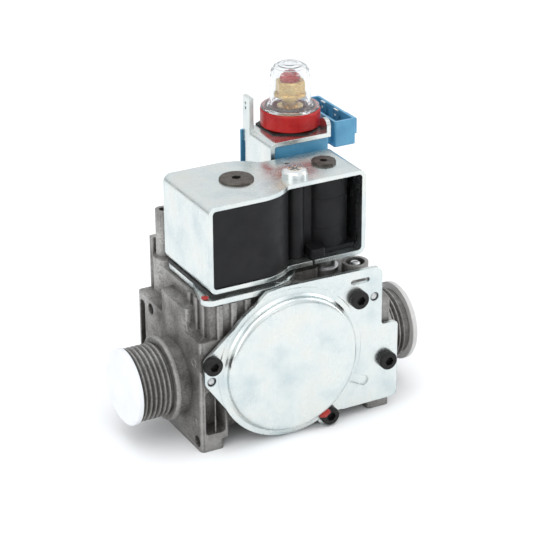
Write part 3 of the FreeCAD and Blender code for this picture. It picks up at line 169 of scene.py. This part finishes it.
class Shader:
    """A node material under construction, with object coordinates in metres."""

    def __init__(self, name):
        self.material = bpy.data.materials.new(name)
        self.material.use_nodes = True
        self.tree = self.material.node_tree
        self.bsdf = self.tree.nodes["Principled BSDF"]
        self.coord = self.tree.nodes.new("ShaderNodeTexCoord").outputs["Object"]

    def add(self, kind, **values):
        made = self.tree.nodes.new(kind)
        for key, value in values.items():
            setattr(made, key, value)
        return made

    def link(self, source, target):
        self.tree.links.new(source, target)

    def set(self, **values):
        for key, value in values.items():
            self.bsdf.inputs[key.replace("_", " ")].default_value = value

    def stretched(self, scale):
        mapping = self.add("ShaderNodeMapping")
        self.link(self.coord, mapping.inputs["Vector"])
        mapping.inputs["Scale"].default_value = scale
        return mapping.outputs["Vector"]

    def noise(self, size_mm, detail=4.0, stretch=(1, 1, 1)):
        made = self.add("ShaderNodeTexNoise")
        made.inputs["Scale"].default_value = 1.0 / (size_mm * MM)
        made.inputs["Detail"].default_value = detail
        self.link(self.stretched(stretch), made.inputs["Vector"])
        return made.outputs["Fac"]

    def cells(self, size_mm):
        made = self.add("ShaderNodeTexVoronoi")
        made.inputs["Scale"].default_value = 1.0 / (size_mm * MM)
        self.link(self.coord, made.inputs["Vector"])
        return made

    def spread(self, value, low, high, start=0.3, end=0.7):
        made = self.add("ShaderNodeMapRange")
        self.link(value, made.inputs["Value"])
        for key, number in (("From Min", start), ("From Max", end), ("To Min", low), ("To Max", high)):
            made.inputs[key].default_value = number
        return made.outputs["Result"]

    def ramp(self, value, colours, start=0.3, end=0.7):
        made = self.add("ShaderNodeValToRGB")
        self.link(value, made.inputs["Fac"])
        stops = made.color_ramp.elements
        stops[0].position = start
        stops[1].position = end
        stops[0].color = colours[0]
        stops[1].color = colours[-1]
        for index, colour in enumerate(colours[1:-1], 1):
            middle = stops.new(start + (end - start) * index / (len(colours) - 1))
            middle.color = colour
        return made.outputs["Color"]

    def mix(self, amount, first, second, blend="MIX"):
        made = self.add("ShaderNodeMix", data_type="RGBA", blend_type=blend)
        if isinstance(amount, float):
            made.inputs["Factor"].default_value = amount
        else:
            self.link(amount, made.inputs["Factor"])
        for source, target in ((first, made.inputs["A"]), (second, made.inputs["B"])):
            if isinstance(source, tuple):
                target.default_value = source
            else:
                self.link(source, target)
        return made.outputs["Result"]

    def open_to_air(self, reach_mm):
        """1 on open faces, falling towards 0 in crevices."""
        made = self.add("ShaderNodeAmbientOcclusion", samples=8)
        made.inputs["Distance"].default_value = reach_mm * MM
        return made.outputs["AO"]

    def soft_edges(self, radius_mm):
        made = self.add("ShaderNodeBevel", samples=4)
        made.inputs["Radius"].default_value = radius_mm * MM
        return made.outputs["Normal"]

    def bump(self, height, depth_mm, normal=None, strength=1.0):
        made = self.add("ShaderNodeBump")
        made.inputs["Strength"].default_value = strength
        made.inputs["Distance"].default_value = depth_mm * MM
        self.link(height, made.inputs["Height"])
        if normal is not None:
            self.link(normal, made.inputs["Normal"])
        return made.outputs["Normal"]


def surface(name, colours, metallic=0.0, rough=(0.4, 0.5), patch=6.0, grain=0.6, depth=0.02,
            stretch=(1, 1, 1), edge=0.0, coat=0.0):
    """General finish: colour varies in patches, roughness and relief vary in a finer grain."""
    shader = Shader(name)
    shader.link(shader.ramp(shader.noise(patch), colours), shader.bsdf.inputs["Base Color"])
    smear = shader.noise(patch * 0.4, 6.0, stretch)
    shader.link(shader.spread(smear, *rough), shader.bsdf.inputs["Roughness"])
    normal = shader.soft_edges(edge) if edge else None
    normal = shader.bump(shader.noise(grain, 5.0, stretch), depth, normal)
    shader.link(normal, shader.bsdf.inputs["Normal"])
    shader.set(Metallic=metallic, Coat_Weight=coat)
    return shader.material


def cast_aluminium():
    """Sand-grey die casting: matt grain, stained patches, tiny pits, brighter rubbed edges, and painted shade
    darkening its crevices.
    """
    shader = Shader("cast_aluminium")
    stain = shader.ramp(shader.noise(14.0, 6.0),
                        [(0.13, 0.121, 0.112, 1), (0.30, 0.288, 0.275, 1), (0.48, 0.468, 0.455, 1)],
                        0.30, 0.70)
    speck = shader.ramp(shader.noise(0.8, 4.0), [(0.50, 0.49, 0.48, 1), (1.0, 1.0, 1.0, 1)], 0.36, 0.56)
    colour = shader.mix(0.7, stain, speck, "MULTIPLY")
    edges = shader.add("ShaderNodeNewGeometry").outputs["Pointiness"]
    worn = shader.spread(edges, 0.0, 0.55, 0.52, 0.60)
    colour = shader.mix(worn, colour, (0.46, 0.45, 0.44, 1))
    # painted shade: the colour falls towards near-black in crevices and hollows, following the
    # ambient-occlusion mask, in place of the shade there
    crevice_shade = shader.spread(shader.open_to_air(7.0), 0.35, 1.0, 0.25, 0.85)
    colour = shader.mix(crevice_shade, (0.055, 0.050, 0.045, 1), colour)
    shader.link(colour, shader.bsdf.inputs["Base Color"])
    shader.link(shader.spread(shader.noise(3.0, 6.0), 0.46, 0.70), shader.bsdf.inputs["Roughness"])
    normal = shader.soft_edges(0.5)
    normal = shader.bump(shader.noise(2.4, 5.0), 0.20, normal)
    normal = shader.bump(shader.cells(0.6).outputs["Distance"], 0.09, normal, 0.9)
    shader.link(normal, shader.bsdf.inputs["Normal"])
    shader.set(Metallic=0.7)
    return shader.material


def zinc_plate():
    """Bright blue-white zinc plating with faint yellow and blue clouds and fine rolling lines."""
    shader = Shader("zinc_plate")
    cloud = shader.ramp(shader.noise(11.0, 5.0),
                        [(0.57, 0.64, 0.65, 1), (0.69, 0.73, 0.72, 1), (0.73, 0.74, 0.70, 1)], 0.3, 0.72)
    spangle = shader.ramp(shader.cells(1.6).outputs["Distance"],
                          [(0.95, 0.95, 0.95, 1), (1, 1, 1, 1)], 0.1, 0.6)
    shader.link(shader.mix(0.6, cloud, spangle, "MULTIPLY"), shader.bsdf.inputs["Base Color"])
    smear = shader.noise(5.0, 7.0, (1.0, 1.0, 0.35))
    shader.link(shader.spread(smear, 0.20, 0.36), shader.bsdf.inputs["Roughness"])
    normal = shader.soft_edges(0.35)
    normal = shader.bump(shader.noise(9.0, 2.0), 0.05, normal)
    normal = shader.bump(shader.noise(0.35, 4.0, (0.2, 1.0, 1.0)), 0.004, normal)
    shader.link(normal, shader.bsdf.inputs["Normal"])
    shader.set(Metallic=1.0)
    return shader.material


def clear_plastic():
    """Clear moulded cap with faint haze."""
    shader = Shader("clear_plastic")
    shader.link(shader.ramp(shader.noise(5.0), [(0.95, 0.97, 0.98, 1), (1, 1, 1, 1)]),
                shader.bsdf.inputs["Base Color"])
    shader.link(shader.spread(shader.noise(2.0), 0.02, 0.09), shader.bsdf.inputs["Roughness"])
    shader.link(shader.bump(shader.noise(4.0, 2.0), 0.02), shader.bsdf.inputs["Normal"])
    shader.set(Transmission_Weight=0.94, IOR=1.38)
    return shader.material


def strainer_mesh():
    """Woven wire look: crossed waves as relief on steel."""
    shader = Shader("strainer_mesh")
    heights = []
    for direction in ("X", "Z"):
        wave = shader.add("ShaderNodeTexWave", bands_direction=direction)
        wave.inputs["Scale"].default_value = 0.25 / (0.6 * MM)
        shader.link(shader.coord, wave.inputs["Vector"])
        heights.append(wave.outputs["Color"])
    weave = shader.mix(0.5, heights[0], heights[1])
    shader.link(shader.ramp(weave, [(0.35, 0.35, 0.34, 1), (0.66, 0.66, 0.64, 1)]),
                shader.bsdf.inputs["Base Color"])
    shader.link(shader.bump(weave, 0.12), shader.bsdf.inputs["Normal"])
    shader.set(Metallic=1.0, Roughness=0.35)
    return shader.material


def grey(value):
    return (value, value, value, 1.0)


def make_materials():
    """One material for each of the record's slots, and one for the browned core screws."""
    made = {"cast_aluminium": cast_aluminium(), "zinc_plate": zinc_plate(),
            "clear_plastic": clear_plastic(), "strainer_mesh": strainer_mesh()}
    turned = (1.0, 1.0, 6.0)
    made["zinc_screw"] = surface("zinc_screw", [(0.70, 0.73, 0.75, 1), (0.82, 0.82, 0.79, 1)], 1.0,
                                 (0.18, 0.34), 2.0, 0.25, 0.01, edge=0.2)
    made["black_steel"] = surface("black_steel", [grey(0.006), (0.016, 0.014, 0.013, 1)], 0.5,
                                  (0.34, 0.50), 2.5, 0.3, 0.015, edge=0.2)
    made["browned_steel"] = surface("browned_steel", [(0.055, 0.046, 0.040, 1), (0.13, 0.112, 0.098, 1)], 0.8,
                                    (0.32, 0.48), 2.0, 0.3, 0.012, edge=0.2)
    made["steel"] = surface("steel", [grey(0.48), grey(0.62)], 1.0, (0.24, 0.38), 3.0, 0.3, 0.008,
                            turned, 0.15)
    made["aluminium"] = surface("aluminium", [grey(0.62), grey(0.74)], 1.0, (0.28, 0.42), 3.0, 0.3, 0.01,
                                turned, 0.2)
    made["brass"] = surface("brass", [(0.52, 0.33, 0.11, 1), (0.66, 0.47, 0.20, 1)], 1.0, (0.20, 0.34), 2.5,
                            0.3, 0.008, turned, 0.2)
    made["tin_plate"] = surface("tin_plate", [grey(0.74), (0.84, 0.84, 0.81, 1)], 1.0, (0.18, 0.32), 2.0,
                                0.2, 0.006, edge=0.1)
    made["rubber"] = surface("rubber", [grey(0.022), grey(0.04)], 0.0, (0.6, 0.8), 4.0, 0.25, 0.02, edge=0.2)
    made["black_plastic"] = surface("black_plastic",
                                    [(0.006, 0.006, 0.007, 1), (0.013, 0.013, 0.014, 1)], 0.0,
                                    (0.34, 0.50), 7.0, 0.35, 0.02, edge=0.35)
    made["blue_plastic"] = surface("blue_plastic", [(0.07, 0.27, 0.45, 1), (0.11, 0.35, 0.54, 1)], 0.0,
                                   (0.28, 0.42), 6.0, 0.5, 0.012, edge=0.3, coat=0.1)
    made["red_plastic"] = surface("red_plastic", [(0.34, 0.006, 0.007, 1), (0.46, 0.014, 0.012, 1)], 0.0,
                                  (0.24, 0.38), 5.0, 0.5, 0.01, edge=0.3, coat=0.05)
    made["red_lacquer"] = surface("red_lacquer", [(0.24, 0.006, 0.004, 1), (0.42, 0.016, 0.010, 1)], 0.0,
                                  (0.16, 0.34), 1.2, 0.5, 0.10, coat=0.25)
    made["white_plastic"] = surface("white_plastic", [(0.78, 0.79, 0.81, 1), (0.84, 0.845, 0.86, 1)], 0.0,
                                    (0.38, 0.5), 8.0, 0.8, 0.015, edge=0.5)
    made["natural_plastic"] = surface("natural_plastic", [(0.74, 0.72, 0.70, 1), (0.84, 0.82, 0.80, 1)], 0.0,
                                      (0.34, 0.48), 6.0, 0.8, 0.015, edge=0.5)
    adjusted = [("natural_plastic", "Transmission Weight", 0.25),
                ("black_plastic", "Specular IOR Level", 0.22),
                ("red_plastic", "Specular IOR Level", 0.25),
                ("red_lacquer", "Specular IOR Level", 0.35)]
    for slot, setting, level in adjusted:
        bsdf = made[slot].node_tree.nodes["Principled BSDF"]
        bsdf.inputs[setting].default_value = level
    return made


OWN_FINISH = {"core_screw_left": "browned_steel", "core_screw_right": "browned_steel"}


def dress_nodes():
    """Every CAD node takes the finish of its slot in the record, or a shade of its own."""
    for entry in frame["record"]["subparts"]:
        mesh = frame["nodes"][entry["node"]].data
        mesh.materials.clear()
        mesh.materials.append(finishes[OWN_FINISH.get(entry["node"], entry["material_slot"])])


# ---- pieces --------------------------------------------------------------------------------------

HEAD_H = 2.6 * MM               # height of the cover screws' heads
KNURL_MARGIN = 0.4 * MM         # plain edge at each end of a head's knurling
KNURL_COUNT = 36
KNURL_DEPTH = 0.035 * MM
KEY_H = 0.7 * MM                # how far the plug shell's key stands out
RIB_COUNT = 3
RIB_START = 13.5 * MM           # from the shell's front to its first rib
RIB_PITCH = 5.0 * MM
RIB_END = 1.2 * MM              # from the shell's edges to a rib's ends
RIB_W, RIB_H = 0.9 * MM, 0.35 * MM
WINDING_R = 8.4 * MM            # the right coil's winding
TAPE_SHARES = (0.30, 0.68)      # how far up the coil its two bands are
TAPE_H = 0.5 * MM
TAPE_OUT = 0.07 * MM            # how far a band stands out of the winding
FLANGE_FRONT = -21.2 * MM       # the inlet flange's front side
FLANGE_FACE = -36.0 * MM        # the inlet flange's face
PARTING_X = 5.5 * MM            # from the flange's face to its parting line
PARTING_Z, PARTING_L = 7 * MM, 28 * MM
PARTING_W, PARTING_H = 0.5 * MM, 0.18 * MM
EJECTOR_MARKS = ((-16.5, 33.5), (-16.5, 10.5))      # Y and Z in millimetres, on the flange's face
SUNK = 0.2 * MM                 # how far a ridge's foot is let into the face it lies on
RIDGE_STEPS = 8
RIGHTWARD, FORWARD, UPWARD = Vector((1, 0, 0)), Vector((0, -1, 0)), Vector((0, 0, 1))


def piece(name, mesh, slot, body="valve"):
    """Link a mesh as a piece riding on a body; without a slot it keeps the mesh's own finish."""
    made = bpy.data.objects.new(name, mesh)
    bpy.context.scene.collection.objects.link(made)
    if slot is not None:
        mesh.materials.append(finishes[slot])
        for face in mesh.polygons:
            face.use_smooth = True
    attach(made, body)
    return made


def loose_boxes(node):
    """Corners of each loose solid in a CAD node, from left to right."""
    work = bmesh.new()
    work.from_mesh(frame["nodes"][node].data)
    bmesh.ops.remove_doubles(work, verts=work.verts, dist=1e-6)
    unseen = set(work.verts)
    boxes = []
    while unseen:
        group = []
        front = [unseen.pop()]
        while front:
            vertex = front.pop()
            group.append(vertex.co.copy())
            for edge in vertex.link_edges:
                other = edge.other_vert(vertex)
                if other in unseen:
                    unseen.remove(other)
                    front.append(other)
        low = Vector([min(co[axis] for co in group) for axis in range(3)])
        high = Vector([max(co[axis] for co in group) for axis in range(3)])
        boxes.append((low, high))
    work.free()
    return sorted(boxes, key=lambda pair: pair[0].x)


def revolved(name, profile, centre, axis, steps=96, ripple=0, ripple_depth=0.0):
    """Closed ring from a (radius, along) profile; a ripple makes knurling on its outer points."""
    turn = Vector((0, 0, 1)).rotation_difference(axis).to_matrix()
    widest = max(radius for radius, _ in profile)
    vertices = []
    for step in range(steps):
        angle = 2 * math.pi * step / steps
        wave = ripple_depth * 0.5 * (1 + math.cos(ripple * angle)) if ripple else 0.0
        for radius, along in profile:
            grown = radius + (wave if radius > widest - 1e-6 else 0.0)
            vertices.append(centre + turn @ Vector((grown * math.cos(angle), grown * math.sin(angle), along)))
    count = len(profile)
    faces = []
    for step in range(steps):
        near = step * count
        far = (step + 1) % steps * count
        for index in range(count):
            following = (index + 1) % count
            faces.append((near + index, far + index, far + following, near + following))
    mesh = bpy.data.meshes.new(name)
    mesh.from_pydata(vertices, [], faces)
    mesh.update()
    return mesh


def ridge(name, start, along, length, out, width, height):
    """Low moulded ridge with a rounded back and tapered ends, lying on a face that looks along out."""
    side = along.cross(out)
    section = []
    for step in range(RIDGE_STEPS + 1):
        angle = math.pi * step / RIDGE_STEPS
        section.append((math.cos(angle) * width / 2, math.sin(angle) * height))
    section += [(-width / 2, -SUNK), (width / 2, -SUNK)]
    vertices = []
    stations = ((0.0, 0.35), (0.02, 0.8), (0.05, 1.0), (0.95, 1.0), (0.98, 0.8), (1.0, 0.35))
    for share, swell in stations:
        for across, up in section:
            grown = up * swell if up > 0 else up
            vertices.append(start + along * (length * share) + side * (across * swell) + out * grown)
    count = len(section)
    faces = [tuple(range(count))[::-1], tuple(range(len(vertices) - count, len(vertices)))]
    for station in range(len(stations) - 1):
        near = station * count
        for index in range(count):
            following = (index + 1) % count
            faces.append((near + index, near + following, near + count + following, near + count + index))
    mesh = bpy.data.meshes.new(name)
    mesh.from_pydata(vertices, [], faces)
    mesh.update()
    return mesh


def screw_knurls():
    """Fine knurling round each black socket head of the cover."""
    for index, (low, high) in enumerate(loose_boxes("cover_screws")):
        head_r = (high.x - low.x) / 2
        centre = Vector(((low.x + high.x) / 2, low.y + HEAD_H - KNURL_MARGIN, (low.z + high.z) / 2))
        knurl_h = HEAD_H - 2 * KNURL_MARGIN
        name = "cover_screw_knurl_%d" % index
        profile = [(head_r - 0.1 * MM, 0), (head_r, 0.12 * MM)]
        profile += [(head_r, knurl_h - 0.12 * MM), (head_r - 0.1 * MM, knurl_h)]
        piece(name, revolved(name, profile, centre, FORWARD, 216, KNURL_COUNT, KNURL_DEPTH), "black_steel")


def shell_ribs():
    """Low ribs moulded down the outer wall of the blue plug shell, behind its key."""
    low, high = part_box("modulator_connector")
    wall = high.x - KEY_H
    for index in range(RIB_COUNT):
        start = Vector((wall, low.y + RIB_START + RIB_PITCH * index, low.z + RIB_END))
        name = "shell_rib_%d" % index
        mesh = ridge(name, start, UPWARD, high.z - low.z - 2 * RIB_END, RIGHTWARD, RIB_W, RIB_H)
        piece(name, mesh, "blue_plastic")


def casting_marks():
    """Moulding marks of the casting: a parting line along the inlet flange and round ejector marks."""
    low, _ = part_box("valve_body")
    start = Vector((FLANGE_FACE + PARTING_X, FLANGE_FRONT, low.z + PARTING_Z))
    mesh = ridge("parting_line", start, UPWARD, PARTING_L, FORWARD, PARTING_W, PARTING_H)
    piece("parting_line", mesh, "cast_aluminium")
    profile = [(1.3 * MM, -0.3 * MM), (1.7 * MM, -0.3 * MM), (1.7 * MM, 0.12 * MM), (1.6 * MM, 0.2 * MM),
               (1.4 * MM, 0.2 * MM), (1.3 * MM, 0.12 * MM)]
    for index, (y, z) in enumerate(EJECTOR_MARKS):
        name = "ejector_mark_%d" % index
        centre = Vector((FLANGE_FACE, y * MM, z * MM))
        piece(name, revolved(name, profile, centre, -RIGHTWARD, 48), "cast_aluminium")


def coil_tape():
    """Edges of the tape wound round the right coil, two thin bands on its winding."""
    low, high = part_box("coil_right")
    tube_low, tube_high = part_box("core_tube_right")
    centre = (tube_low + tube_high) / 2
    for index, share in enumerate(TAPE_SHARES):
        name = "coil_tape_%d" % index
        inner, outer = WINDING_R - 0.4 * MM, WINDING_R + TAPE_OUT
        profile = [(inner, 0), (outer - 0.05 * MM, 0), (outer, 0.08 * MM)]
        profile += [(outer, TAPE_H - 0.08 * MM), (outer - 0.05 * MM, TAPE_H), (inner, TAPE_H)]
        place = Vector((centre.x, centre.y, low.z + (high.z - low.z) * share))
        piece(name, revolved(name, profile, place, UPWARD, 128), "black_plastic")


def lacquer_blob(name, node):
    """Uneven dried drop that fills the space of a CAD lacquer solid."""
    low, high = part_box(node)
    work = bmesh.new()
    bmesh.ops.create_icosphere(work, subdivisions=4, radius=1.0)
    centre, half = (low + high) / 2, (high - low) / 2
    for vertex in work.verts:
        co = vertex.co
        swell = 0.90 + 0.07 * math.sin(5 * co.x + 2 * co.z) * math.cos(4 * co.y - co.x)
        vertex.co = centre + Vector([co[axis] * half[axis] * swell for axis in range(3)])
    mesh = bpy.data.meshes.new(name)
    work.to_mesh(mesh)
    work.free()
    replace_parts(piece(name, mesh, "red_lacquer"), node)


def working_springs():
    """Each spring of a joint as a piece of its own: a copy of its CAD mesh, in place of the node."""
    for joint in frame["record"]["behaviour"]["joints"]:
        for entry in joint.get("deforming_nodes", ()):
            node = entry["node"]
            if "spring" not in node:
                continue
            coil = piece(node + "_coil", frame["nodes"][node].data.copy(), None)
            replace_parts(coil, node)
            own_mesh(coil)


def main_pieces():
    working_springs()
    screw_knurls()
    shell_ribs()
    casting_marks()
    coil_tape()
    lacquer_blob("cover_lacquer", "cover_seal")
    lacquer_blob("gasket_lacquer", "plate_seal")


finishes = make_materials()
dress_nodes()
main_pieces()
floor()
lights()
camera()
